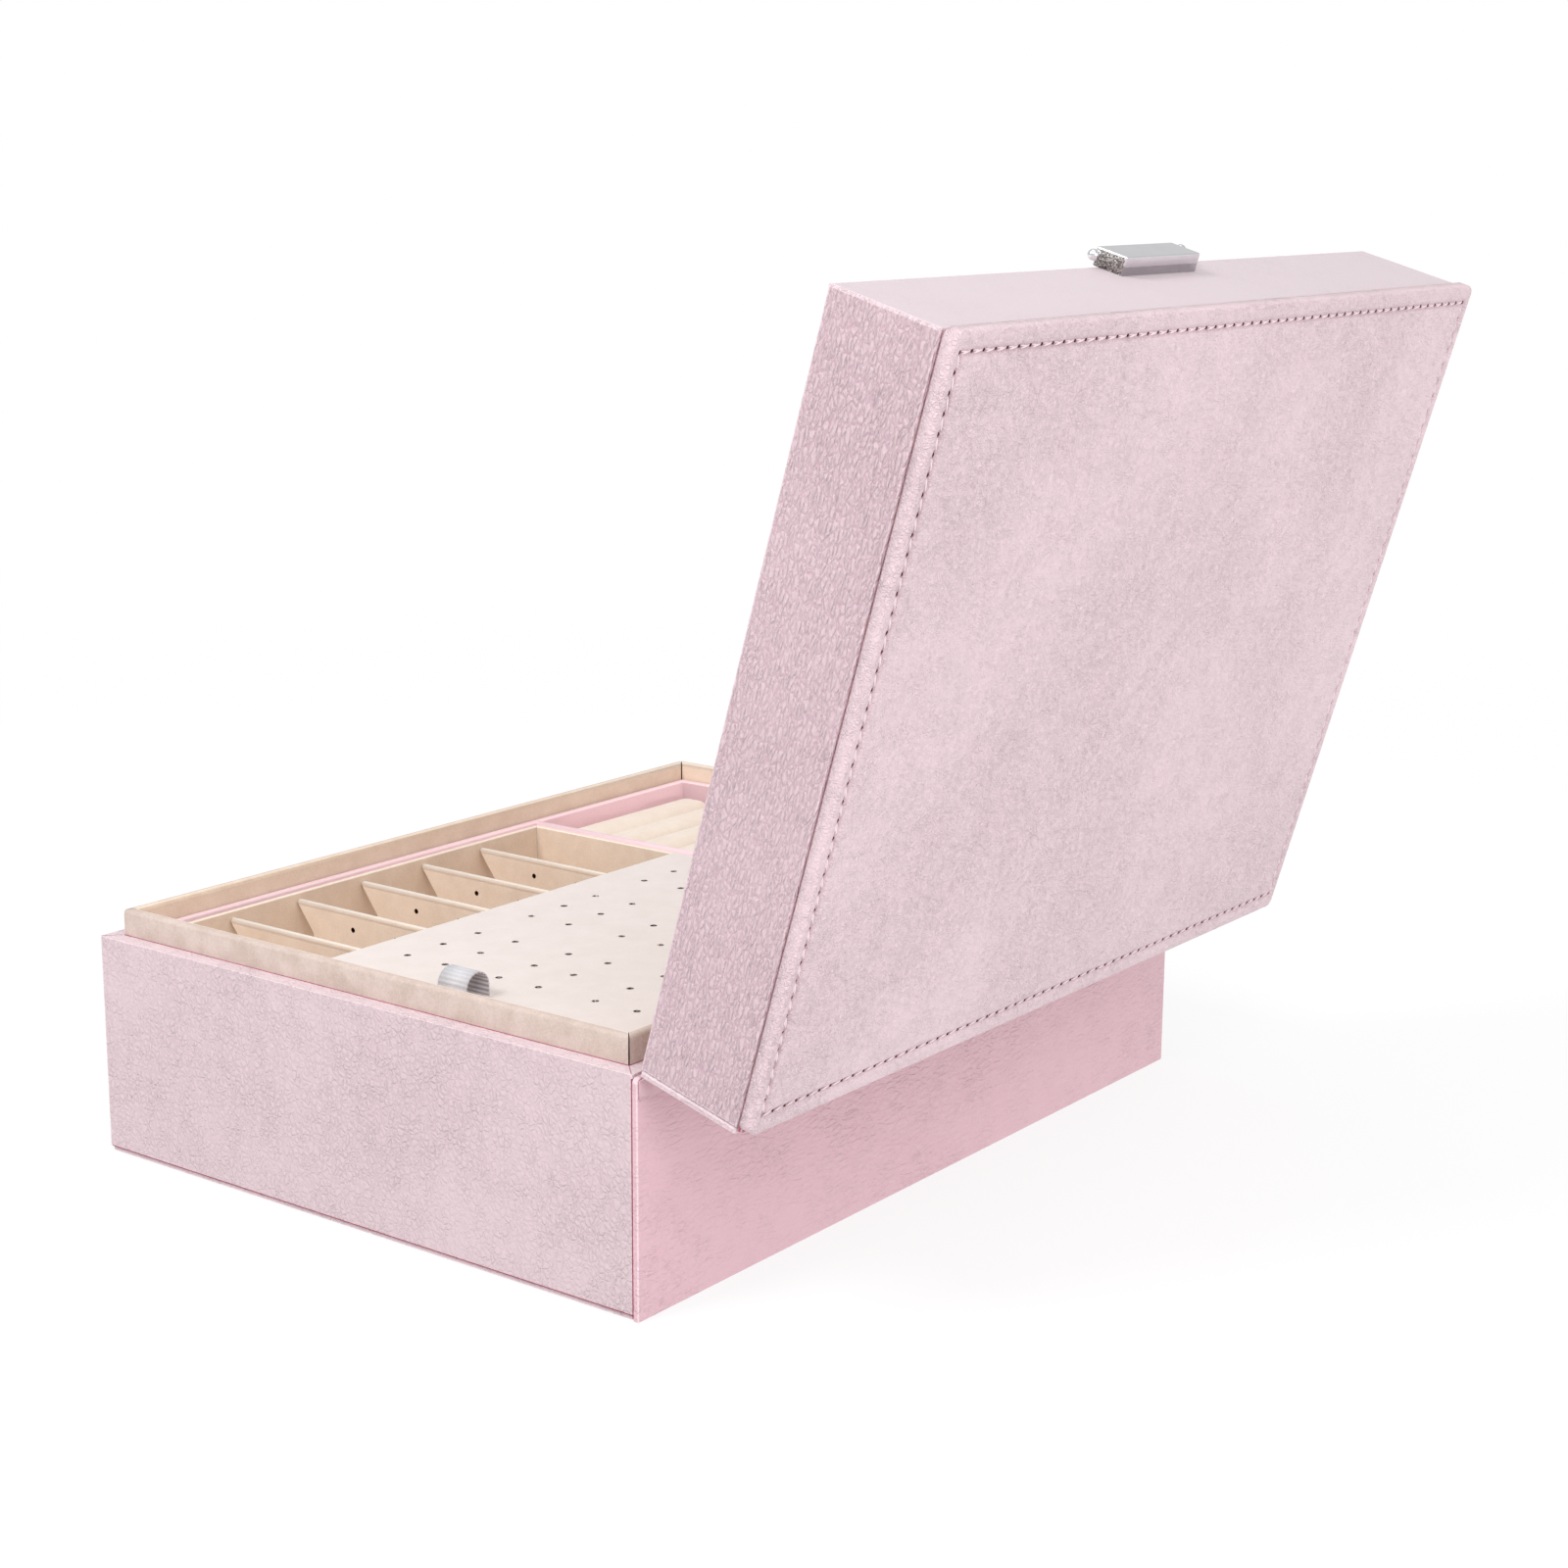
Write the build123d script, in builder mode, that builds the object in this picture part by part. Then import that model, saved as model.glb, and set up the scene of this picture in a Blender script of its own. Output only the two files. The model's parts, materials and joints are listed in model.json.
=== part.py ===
# Hinged jewelry box: a leatherette case in the style of a book cover, with a velvet collar,
# a lift-out tray with dividers and ring rolls, a perforated earring panel and a bail clasp.
#
# Frame: +Z up, X along the width, Y along the depth with the hinge at +Y.
# The origin is the centre of the case's underside. The box is modelled with its lid open.
import os
from math import cos, radians, sin

from build123d import *

os.makedirs("parts", exist_ok=True)

# ---------------------------------------------------------------- driving sizes, millimetres
case_width = 230.0
case_depth = 176.0
base_height = 57.0
lid_height = 27.0
open_angle = 106.0

board = 1.5             # wrapped boards of the outer cover
wall = 4.3              # base walls, with their wrap
lid_wall = 3.7          # lid walls, thinner so that the lid clears the collar
rim_gap = 0.3           # between the closed lid and the base rim
hinge_slot = 1.2        # bare leatherette between the two back boards
hinge_standoff = 0.2    # hinge axis behind the back boards
cover_inset = 0.6       # bottom board, inside the walls' outline
skin = 0.4              # leatherette and lining fabric
crease_leg = 1.0        # hinge skin glued to each back board past its edge
lining_inset = 15.0     # ends of the inner hinge lining from the case's sides

collar_thickness = 2.6
collar_rise = 6.8       # above the base rim
board_round = 0.42      # top edge radius of wrapped boards, as a share of their thickness
floor_thickness = 2.0

panel_overhang = 0.8    # padded top panel past the lid walls
panel_setback = 1.8     # padded top panel, short of the cover's back
top_board = 1.2
leather = 0.8
top_foam = 2.5
top_radius = 1.4
top_corner = 2.2
lining_thickness = 2.0

tray_clearance = 0.5
tray_depth = 26.7
tray_wall = 2.2
tray_floor_thickness = 1.5
tray_drop = 5.1         # tray rim below the collar's top
liner = 1.4             # velvet boards inside the tray
liner_drop = 0.9
divider_thickness = 2.6
divider_drop = 2.7      # divider tops below the tray rim
shoulder_drop = 8.0     # depth of the slanted divider ends
shoulder_cut = 6.2
compartments = 6
compartment_pitch = 23.4
stud_hole = 0.7         # radius of the holes for earring posts
stud_depth = 4.6        # below the divider tops
stud_rows = (-56.0, -40.5, -12.0, 3.5, 32.0, 47.5)

roll_count = 12
roll_gap = 0.6
roll_depth = 3.7        # ring roll tops below the tray rim
roll_height_ratio = 1.1
roll_round = 0.42       # corner radius as a share of a roll's width
ring_clearance = 0.6    # ring insert, clear of the tray's walls

panel_thickness = 2.5
panel_front_edge = -25.0
panel_clearance = 0.5
panel_hole = 0.9
panel_corner = 1.0
panel_edge_round = 0.75
hole_rows = (-36.5, -23.9, -6.3, 6.3, 23.9, 36.5)
hole_offset_x = -8.0    # centre of the hole groups, from the panel's middle
column_pitch = 12.5
group_pitch = 45.0
ribbon_width = 9.0
ribbon_offset = -3.0    # from the panel's middle
ribbon_thickness = 0.6
ribbon_span = 8.0
ribbon_height = 6.6
ribbon_inset = 0.6

lower_liner = 1.8
lower_divider = 2.0
lower_divider_drop = 6.5    # lower dividers below the tray

clasp_width = 32.5
keeper_height = 8.0
keeper_overlap = 0.9    # keeper below the base rim when closed
catch_height = 11.4
clasp_gap = 0.5
pin_radius = 0.8
pin_standoff = 2.8      # pin axes from the walls that the clasp is riveted to
pin_inset = 1.5         # pin axes behind the clasp's outer faces
keeper_pin_rise = 1.3
pivot_rise = 3.0
ball_radius = 1.3
clasp_edge = 0.4
pin_head = 0.6
pin_head_radius = 1.4
bail_plate = 1.0
bail_play = 0.3
bail_arm_gap = 0.7      # bail's arms clear of the wall
bail_hang = 170.0       # turn from latched to hanging
bail_clearance = 1.0    # hanging thumb plate, below the catch block
bail_plate_height = 6.5
running = 0.08          # radial clearance of the bail on its pivot
notch_play = 0.2
rivet_radius = 1.0
rivet_head_radius = 1.9
rivet_head = 0.8
rivet_spacing = 20.0

# ---------------------------------------------------------------- sizes that follow
clasp_thickness = pin_standoff + pin_inset
bail_arm = pin_standoff - bail_arm_gap
half_width = case_width / 2
front_y = -case_depth / 2
back_y = case_depth / 2
wall_back_y = back_y - board
hinge_y = back_y + hinge_standoff
hinge_z = base_height
inside_x = half_width - wall
inside_front = front_y + wall
inside_back = wall_back_y - wall
floor_top = board + floor_thickness
collar_top = base_height + collar_rise
collar_x = inside_x - collar_thickness
collar_front = inside_front + collar_thickness
collar_back = inside_back - collar_thickness

tray_top = collar_top - tray_drop
tray_bottom = tray_top - tray_depth
tray_x = collar_x - tray_clearance
tray_front = collar_front + tray_clearance
tray_back = collar_back - tray_clearance
tray_floor_top = tray_bottom + tray_floor_thickness
bay_x = tray_x - tray_wall                      # inside of the pink tray walls
bay_front = tray_front + tray_wall
bay_back = tray_back - tray_wall
liner_top = tray_top - liner_drop
divider_top = tray_top - divider_drop
partition_x = bay_x - liner - divider_thickness / 2 - compartments * compartment_pitch

sides = ("front", "right", "back", "left")


# ---------------------------------------------------------------- shared shapes
def corners(half_x, low_y, high_y):
    """Corners of a rectangle in plan, counter-clockwise from the front left."""
    return [(-half_x, low_y), (half_x, low_y), (half_x, high_y), (-half_x, high_y)]


def rivet_pair(plane, length, mode=Mode.ADD):
    """Two shanks standing up from the plane, with flat heads let in flush at their far ends."""
    for radius, start in ((rivet_radius, 0.0), (rivet_head_radius, length - rivet_head)):
        with BuildSketch(plane.offset(start)) as rounds:
            with Locations((-rivet_spacing / 2, 0), (rivet_spacing / 2, 0)):
                Circle(radius)
        extrude(rounds.sketch, amount=length - start, mode=mode)


def mitred_walls(name, plane, half_x, low_y, high_y, thickness, height, top_round=0.0,
                 rivet_plane=None):
    """Four boards round a rectangle, mitred at the corners, each its own solid and file."""
    outer = corners(half_x, low_y, high_y)
    inner = corners(half_x - thickness, low_y + thickness, high_y - thickness)
    for i, side in enumerate(sides):
        j = (i + 1) % 4
        with BuildPart() as piece:
            with BuildSketch(plane):
                Polygon(outer[i], outer[j], inner[j], inner[i], align=None)
            extrude(amount=height)
            if top_round:
                top = piece.faces().sort_by(Axis((0, 0, 0), plane.z_dir))[-1]
                fillet(top.edges().sort_by(SortBy.LENGTH)[-2:], radius=top_round)
            if rivet_plane and side == "front":
                rivet_pair(rivet_plane, thickness, mode=Mode.SUBTRACT)
        save(piece, f"{name}_{side}")


def save(piece, label):
    """Label a finished sub-part and write its STEP file."""
    piece.part.label = label
    export_step(piece.part, f"parts/{label}.step")


def slab(label, plane, low, high, height):
    """A flat board from one plan corner to the other, standing up from its plane."""
    with BuildPart() as piece:
        with BuildSketch(plane):
            with Locations(((low[0] + high[0]) / 2, (low[1] + high[1]) / 2)):
                Rectangle(high[0] - low[0], high[1] - low[1])
        extrude(amount=height)
    save(piece, label)


# ---------------------------------------------------------------- case: outer cover and base
slab("bottom_board", Plane.XY, (-half_width + cover_inset, front_y + cover_inset),
     (half_width - cover_inset, wall_back_y), board)
slab("back_board", Plane.XY, (-half_width, wall_back_y), (half_width, back_y),
     base_height - hinge_slot / 2)
catch_top = base_height - keeper_overlap - clasp_gap
catch_middle = catch_top - catch_height / 2
catch_rivet_plane = Plane(origin=(0, front_y, catch_middle), x_dir=(1, 0, 0), z_dir=(0, 1, 0))
mitred_walls("base_wall", Plane.XY.offset(board), half_width, front_y, wall_back_y, wall,
             base_height - board, rivet_plane=catch_rivet_plane)
slab("base_floor", Plane.XY.offset(board), (-inside_x, inside_front), (inside_x, inside_back),
     floor_thickness)
mitred_walls("collar", Plane.XY.offset(floor_top), inside_x, inside_front, inside_back,
             collar_thickness, collar_top - floor_top, collar_thickness * board_round)
mitred_walls("lower_liner", Plane.XY.offset(floor_top), collar_x, collar_front, collar_back,
             lower_liner, tray_bottom - floor_top)

# Lower layer: one divider from front to back, and one across the wider side of it.
lower_x = collar_x - lower_liner
lower_front = collar_front + lower_liner
lower_back = collar_back - lower_liner
lower_middle = (lower_front + lower_back) / 2
lower_divider_height = tray_bottom - lower_divider_drop - floor_top
slab("lower_divider_cross", Plane.XY.offset(floor_top), (partition_x - lower_divider, lower_front),
     (partition_x, lower_back), lower_divider_height)
slab("lower_divider_long", Plane.XY.offset(floor_top), (partition_x, lower_middle),
     (lower_x, lower_middle + lower_divider), lower_divider_height)

# ---------------------------------------------------------------- lid, laid out in closed pose
# The lid's plane has its origin on the hinge axis. Its local Y and Z are the closed lid's.
turn = radians(open_angle)
lid_plane = Plane(origin=(0, hinge_y, hinge_z), x_dir=(1, 0, 0), z_dir=(0, sin(turn), cos(turn)))
lid_front = front_y - hinge_y
lid_back = wall_back_y - hinge_y
cover_back = back_y - hinge_y
lid_top = rim_gap + lid_height

keeper_middle = -keeper_overlap + keeper_height / 2
keeper_rivet_plane = Plane(origin=lid_plane.from_local_coords(Vector(0, lid_front, keeper_middle)),
                           x_dir=lid_plane.x_dir, z_dir=lid_plane.y_dir)
mitred_walls("lid_wall", lid_plane.offset(rim_gap), half_width, lid_front, lid_back, lid_wall,
             lid_height, rivet_plane=keeper_rivet_plane)
slab("lid_back_board", lid_plane.offset(hinge_slot / 2), (-half_width, lid_back),
     (half_width, cover_back), lid_top - hinge_slot / 2)
slab("lid_top_board", lid_plane.offset(lid_top), (-half_width + cover_inset, lid_front + cover_inset),
     (half_width - cover_inset, cover_back - cover_inset), top_board)
slab("lid_lining", lid_plane.offset(lid_top - lining_thickness),
     (-half_width + lid_wall, lid_front + lid_wall), (half_width - lid_wall, lid_back - lid_wall),
     lining_thickness)

# Padded top: a leather cap over a foam sheet, closed below by the top board.
cap_low = (-half_width - panel_overhang, lid_front - panel_overhang)
cap_high = (half_width + panel_overhang, cover_back - panel_setback)
cap_height = leather + top_foam
with BuildPart() as top_panel:
    with BuildSketch(lid_plane.offset(lid_top + top_board)):
        with Locations((0, (cap_low[1] + cap_high[1]) / 2)):
            Rectangle(cap_high[0] - cap_low[0], cap_high[1] - cap_low[1])
    extrude(amount=cap_height)
    rise = Axis((0, 0, 0), lid_plane.z_dir)
    fillet(top_panel.edges().filter_by(rise), radius=top_corner)
    fillet(top_panel.faces().sort_by(rise)[-1].edges(), radius=top_radius)
    with BuildSketch(lid_plane.offset(lid_top + top_board)):
        with Locations((0, (cap_low[1] + cap_high[1]) / 2)):
            Rectangle(cap_high[0] - cap_low[0] - 4 * leather, cap_high[1] - cap_low[1] - 4 * leather)
    extrude(amount=top_foam, mode=Mode.SUBTRACT)
save(top_panel, "top_panel")
slab("top_foam", lid_plane.offset(lid_top + top_board),
     (cap_low[0] + 2 * leather, cap_low[1] + 2 * leather),
     (cap_high[0] - 2 * leather, cap_high[1] - 2 * leather), top_foam)

# ---------------------------------------------------------------- hinge: cover skin and lining
# Both are strips of fabric that bend where the lid turns, drawn as they lie with the lid open.
def lid_point(depth, height):
    """Where a point of the closed lid's side view lies with the lid open, as (Y, Z)."""
    point = lid_plane.from_local_coords(Vector(0, depth, height))
    return (point.Y, point.Z)


with BuildPart() as hinge_strip:
    with BuildSketch(Plane.YZ.offset(-half_width + cover_inset)):
        with BuildLine():
            base_edge = (back_y, base_height - hinge_slot / 2)
            base_low = (back_y, base_edge[1] - crease_leg)
            lid_edge = lid_point(cover_back, hinge_slot / 2)
            lid_far = lid_point(cover_back, hinge_slot / 2 + crease_leg)
            crease = ((base_edge[0] + lid_edge[0]) / 2 + skin, (base_edge[1] + lid_edge[1]) / 2 - skin)
            Polyline(base_low, base_edge, lid_edge, lid_far, crease, close=True)
        make_face()
    extrude(amount=case_width - 2 * cover_inset)
save(hinge_strip, "hinge_strip")

with BuildPart() as hinge_lining:
    with BuildSketch(Plane.YZ.offset(-half_width + lining_inset)):
        with BuildLine():
            lid_rim = lid_point(lid_back - lid_wall, rim_gap)
            Polyline((inside_back, base_height), (inside_back, base_height + skin),
                     (lid_rim[0] - skin, lid_rim[1]), lid_rim, close=True)
        make_face()
    extrude(amount=case_width - 2 * lining_inset)
save(hinge_lining, "hinge_lining")

# ---------------------------------------------------------------- lift-out tray
slab("tray_floor", Plane.XY.offset(tray_bottom), (-tray_x, tray_front), (tray_x, tray_back),
     tray_floor_thickness)
mitred_walls("tray_wall", Plane.XY.offset(tray_floor_top), tray_x, tray_front, tray_back, tray_wall,
             tray_top - tray_floor_top, tray_wall * board_round)

# The partition closes the ring bay off from the velvet bay.
with BuildPart() as tray_partition:
    with BuildSketch(Plane.XY.offset(tray_floor_top)):
        with Locations((partition_x - tray_wall / 2, (bay_front + bay_back) / 2)):
            Rectangle(tray_wall, bay_back - bay_front)
    extrude(amount=tray_top - tray_floor_top)
    fillet(tray_partition.faces().sort_by(Axis.Z)[-1].edges().filter_by(Axis.Y), tray_wall * board_round)
save(tray_partition, "tray_partition")

# Velvet boards stand against the tray's walls, as a mitred frame beside the partition.
velvet_middle = (partition_x + bay_x) / 2
velvet_half = (bay_x - partition_x) / 2
mitred_walls("tray_liner", Plane(origin=(velvet_middle, 0, tray_floor_top)), velvet_half, bay_front,
             bay_back, liner, liner_top - tray_floor_top)

# Dividers hang between the front and back liners, with slanted ends and holes for posts.
divider_front = bay_front + liner
divider_back = bay_back - liner
divider_height = divider_top - tray_floor_top
for number in range(1, compartments):
    x = bay_x - liner - number * compartment_pitch
    with BuildPart() as divider:
        with BuildSketch(Plane.YZ.offset(x - divider_thickness / 2)):
            with BuildLine():
                Polyline((divider_front, divider_top), (divider_back, divider_top),
                         (divider_back - shoulder_cut, divider_top - shoulder_drop),
                         (divider_back - shoulder_cut, tray_floor_top),
                         (divider_front + shoulder_cut, tray_floor_top),
                         (divider_front + shoulder_cut, divider_top - shoulder_drop), close=True)
            make_face()
            with Locations(*[(row, divider_top - stud_depth) for row in stud_rows]):
                Circle(stud_hole, mode=Mode.SUBTRACT)
        extrude(amount=divider_thickness)
        fillet(divider.faces().sort_by(Axis.Z)[-1].edges().filter_by(Axis.Y),
               radius=divider_thickness * board_round)
    save(divider, f"divider_{number}")

# Ring insert: a foam bed with velvet rolls side by side, which grip rings between them.
# It stands loose in its bay, and lifts out.
ring_low_x = -bay_x + ring_clearance
ring_high_x = partition_x - tray_wall - ring_clearance
ring_front = bay_front + ring_clearance
ring_back = bay_back - ring_clearance
roll_pitch = (ring_back - ring_front) / roll_count
roll_width = roll_pitch - roll_gap
roll_height = roll_width * roll_height_ratio
roll_base = tray_top - roll_depth - roll_height
slab("ring_bed", Plane.XY.offset(tray_floor_top), (ring_low_x, ring_front), (ring_high_x, ring_back),
     roll_base - tray_floor_top)
with BuildPart() as ring_rolls:
    with BuildSketch(Plane.YZ.offset(ring_low_x)):
        for number in range(roll_count):
            middle = ring_front + (number + 0.5) * roll_pitch
            with Locations((middle, roll_base + roll_height / 2)):
                RectangleRounded(roll_width, roll_height, roll_width * roll_round)
    extrude(amount=ring_high_x - ring_low_x)
save(ring_rolls, "ring_rolls")

# ---------------------------------------------------------------- earring panel with its ribbon
# A wrapped board lies on the dividers. Its holes come in pairs, in three groups of columns.
panel_low_x = partition_x + liner + panel_clearance
panel_high_x = bay_x - liner - panel_clearance
panel_back_edge = divider_back - panel_clearance
panel_middle = (panel_front_edge + panel_back_edge) / 2
panel_top = divider_top + panel_thickness
hole_centre_x = (panel_low_x + panel_high_x) / 2 + hole_offset_x
with BuildPart() as earring_panel:
    with BuildSketch(Plane.XY.offset(divider_top)):
        with Locations(((panel_low_x + panel_high_x) / 2, panel_middle)):
            RectangleRounded(panel_high_x - panel_low_x, panel_back_edge - panel_front_edge, panel_corner)
        for column_group in (-1, 0, 1):
            for column in (-1, 0, 1):
                for row in hole_rows:
                    x = hole_centre_x + column_group * group_pitch + column * column_pitch
                    with Locations((x, panel_middle + row)):
                        Circle(panel_hole, mode=Mode.SUBTRACT)
    extrude(amount=panel_thickness)
    fillet(earring_panel.faces().sort_by(Axis.Z)[-1].outer_wire().edges(), panel_edge_round)
save(earring_panel, "earring_panel")

# The pull is a ribbon bent into an arch and glued down at both feet.
ribbon_x = panel_high_x - ribbon_span / 2 - ribbon_inset
with BuildPart() as ribbon_tab:
    with BuildSketch(Plane.XZ.offset(-panel_middle - ribbon_offset - ribbon_width / 2)):
        for radius, mode in ((ribbon_span / 2, Mode.ADD), (ribbon_span / 2 - ribbon_thickness,
                                                          Mode.SUBTRACT)):
            spring_line = panel_top + ribbon_height - ribbon_span / 2
            with Locations((ribbon_x, spring_line)):
                Circle(radius, mode=mode)
            with Locations((ribbon_x, (panel_top + spring_line) / 2)):
                Rectangle(2 * radius, spring_line - panel_top, mode=mode)
        with Locations((ribbon_x, panel_top - ribbon_span / 2)):
            Rectangle(ribbon_span, ribbon_span, mode=Mode.SUBTRACT)
    extrude(amount=ribbon_width)
save(ribbon_tab, "ribbon_tab")

# ---------------------------------------------------------------- clasp: keeper on the lid
# The keeper's block and pin are laid out on the closed lid, in its local Y and Z.
block_face = lid_front - clasp_thickness
pin_depth = block_face + pin_inset
pin_height = -keeper_overlap + keeper_pin_rise
across_lid = Plane(origin=lid_plane.origin, x_dir=lid_plane.y_dir, z_dir=lid_plane.x_dir)
with BuildPart() as keeper_block:
    with BuildSketch(across_lid.offset(-clasp_width / 2)):
        with Locations((lid_front - clasp_thickness / 2, keeper_middle)):
            Rectangle(clasp_thickness, keeper_height)
    extrude(amount=clasp_width)
    outer_face = keeper_block.faces().sort_by(Axis((0, 0, 0), lid_plane.y_dir))[0]
    fillet(outer_face.edges(), radius=clasp_edge)
    with BuildSketch(across_lid.offset(-clasp_width / 2)):
        with Locations((pin_depth, pin_height)):
            Circle(pin_radius)
    extrude(amount=clasp_width, mode=Mode.SUBTRACT)
save(keeper_block, "keeper_block")

arm_outside = clasp_width / 2 + bail_play + bail_plate
ball_middle = arm_outside + bail_play + ball_radius
with BuildPart() as keeper_pin:
    with BuildSketch(across_lid.offset(-ball_middle)):
        with Locations((pin_depth, pin_height)):
            Circle(pin_radius)
    extrude(amount=2 * ball_middle)
    for end in (-ball_middle, ball_middle):
        with Locations(across_lid.offset(end).from_local_coords(Vector(pin_depth, pin_height, 0))):
            Sphere(ball_radius)
save(keeper_pin, "keeper_pin")

with BuildPart() as keeper_rivets:
    rivet_pair(keeper_rivet_plane, lid_wall)
save(keeper_rivets, "keeper_rivets")

# ---------------------------------------------------------------- clasp: catch on the base
pivot_y = front_y - clasp_thickness + pin_inset
pivot_z = catch_top - catch_height + pivot_rise
with BuildPart() as catch_block:
    with BuildSketch(Plane.YZ.offset(-clasp_width / 2)):
        with Locations((front_y - clasp_thickness / 2, catch_middle)):
            Rectangle(clasp_thickness, catch_height)
    extrude(amount=clasp_width)
    fillet(catch_block.faces().sort_by(Axis.Y)[0].edges(), radius=clasp_edge)
    with BuildSketch(Plane.YZ.offset(-clasp_width / 2)):
        with Locations((pivot_y, pivot_z)):
            Circle(pin_radius)
    extrude(amount=clasp_width, mode=Mode.SUBTRACT)
save(catch_block, "catch_block")

pin_end = arm_outside + bail_play
with BuildPart() as catch_pin:
    with BuildSketch(Plane.YZ.offset(-pin_end)):
        with Locations((pivot_y, pivot_z)):
            Circle(pin_radius)
    extrude(amount=2 * pin_end)
    for start, thickness in ((-pin_end, -pin_head), (pin_end, pin_head)):
        with BuildSketch(Plane.YZ.offset(start)):
            with Locations((pivot_y, pivot_z)):
                Circle(pin_head_radius)
        extrude(amount=thickness)
save(catch_pin, "catch_pin")

with BuildPart() as catch_rivets:
    rivet_pair(catch_rivet_plane, wall)
save(catch_rivets, "catch_rivets")

# The bail is laid out in its latched pose, upright on its pivot, and hangs open.
hang = radians(bail_hang)
bail_plane = Plane(origin=(0, pivot_y, pivot_z), x_dir=(1, 0, 0), z_dir=(0, -sin(hang), cos(hang)))
across_bail = Plane(origin=bail_plane.origin, x_dir=bail_plane.y_dir, z_dir=bail_plane.x_dir)
reach = base_height + pin_height - pivot_z
notch = pin_radius + notch_play
plate_back = -(pin_inset + bail_play)
with BuildPart() as bail:
    for start in (-arm_outside, arm_outside - bail_plate):
        with BuildSketch(across_bail.offset(start)):
            with Locations((0, 0), (0, reach)):
                Circle(bail_arm)
            with Locations((0, reach / 2)):
                Rectangle(2 * bail_arm, reach)
            Circle(pin_radius + running, mode=Mode.SUBTRACT)
            with Locations((0, reach)):
                Circle(notch, mode=Mode.SUBTRACT)
            with Locations((bail_arm / 2, reach)):
                Rectangle(bail_arm, 2 * notch, mode=Mode.SUBTRACT)
        extrude(amount=bail_plate)
    with BuildSketch(bail_plane.offset(pivot_rise + bail_clearance)):
        with Locations((0, plate_back - bail_plate / 2)):
            Rectangle(2 * arm_outside, bail_plate)
    extrude(amount=bail_plate_height)
save(bail, "bail")

print("hinge axis", hinge_y, hinge_z, "bail pivot", pivot_y, pivot_z)
print("tray", tray_bottom, tray_top, "bay", bay_x, bay_front, bay_back, "partition", partition_x)
print("panel", panel_low_x, panel_high_x, panel_front_edge, panel_back_edge, panel_top)
print("lower", lower_x, lower_front, lower_back, lower_middle, "floor", floor_top)
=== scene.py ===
# A hinged jewelry box in pink leatherette, standing open: a book-style cover, a base with a velvet
# collar, a lid with a stitched padded top, a lift-out tray with dividers and ring rolls, a perforated
# earring panel and a chrome bail clasp. Sizes are in millimetres, and mm turns them into metres.
import json
from math import cos, exp, hypot, pi, radians, sin

import bmesh
import bpy
import numpy as np
from mathutils import Matrix, Vector, noise


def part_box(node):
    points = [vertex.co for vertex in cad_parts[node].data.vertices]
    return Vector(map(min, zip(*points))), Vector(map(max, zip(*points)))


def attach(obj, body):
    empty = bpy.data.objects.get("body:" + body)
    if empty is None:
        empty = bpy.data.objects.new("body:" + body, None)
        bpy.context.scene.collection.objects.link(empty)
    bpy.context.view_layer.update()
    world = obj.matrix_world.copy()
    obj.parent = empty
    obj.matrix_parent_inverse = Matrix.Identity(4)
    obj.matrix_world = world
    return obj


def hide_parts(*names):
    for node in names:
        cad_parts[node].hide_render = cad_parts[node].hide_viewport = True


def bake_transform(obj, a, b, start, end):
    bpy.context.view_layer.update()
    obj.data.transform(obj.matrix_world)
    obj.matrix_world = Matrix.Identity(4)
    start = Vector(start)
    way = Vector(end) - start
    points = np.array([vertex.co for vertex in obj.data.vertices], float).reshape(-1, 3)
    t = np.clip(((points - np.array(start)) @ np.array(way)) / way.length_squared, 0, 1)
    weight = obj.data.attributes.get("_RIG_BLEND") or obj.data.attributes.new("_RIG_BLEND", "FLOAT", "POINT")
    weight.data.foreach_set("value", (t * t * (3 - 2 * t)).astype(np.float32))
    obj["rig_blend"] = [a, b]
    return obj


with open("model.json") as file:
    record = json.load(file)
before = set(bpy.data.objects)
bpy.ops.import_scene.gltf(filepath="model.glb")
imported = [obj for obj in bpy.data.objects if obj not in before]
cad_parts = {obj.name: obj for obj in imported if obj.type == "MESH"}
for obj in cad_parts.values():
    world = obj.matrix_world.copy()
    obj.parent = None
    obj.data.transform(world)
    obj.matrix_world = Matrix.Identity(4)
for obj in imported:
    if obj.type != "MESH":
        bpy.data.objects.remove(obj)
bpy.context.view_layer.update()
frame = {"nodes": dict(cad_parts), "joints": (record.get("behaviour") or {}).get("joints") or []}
mm = 0.001


# ------------------------------------------------------------------ camera
# The box is seen from behind its right side, a little above the rim, with a long lens.
camera = bpy.data.objects.new("camera", bpy.data.cameras.new("camera"))
bpy.context.scene.collection.objects.link(camera)
bpy.context.scene.camera = camera
camera.data.sensor_width = 36
camera.data.lens = 64.16
azimuth, elevation, roll = radians(127.0), radians(12.94), radians(0.34)
towards_camera = Vector((sin(azimuth) * cos(elevation), -cos(azimuth) * cos(elevation), sin(elevation)))
camera.location = Vector((551.3, 455.8, 252.4)) * mm
facing = (-towards_camera).to_track_quat("-Z", "Y").to_matrix().to_4x4()
camera.matrix_world = Matrix.Translation(camera.location) @ facing @ Matrix.Rotation(roll, 4, "Z")


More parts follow.
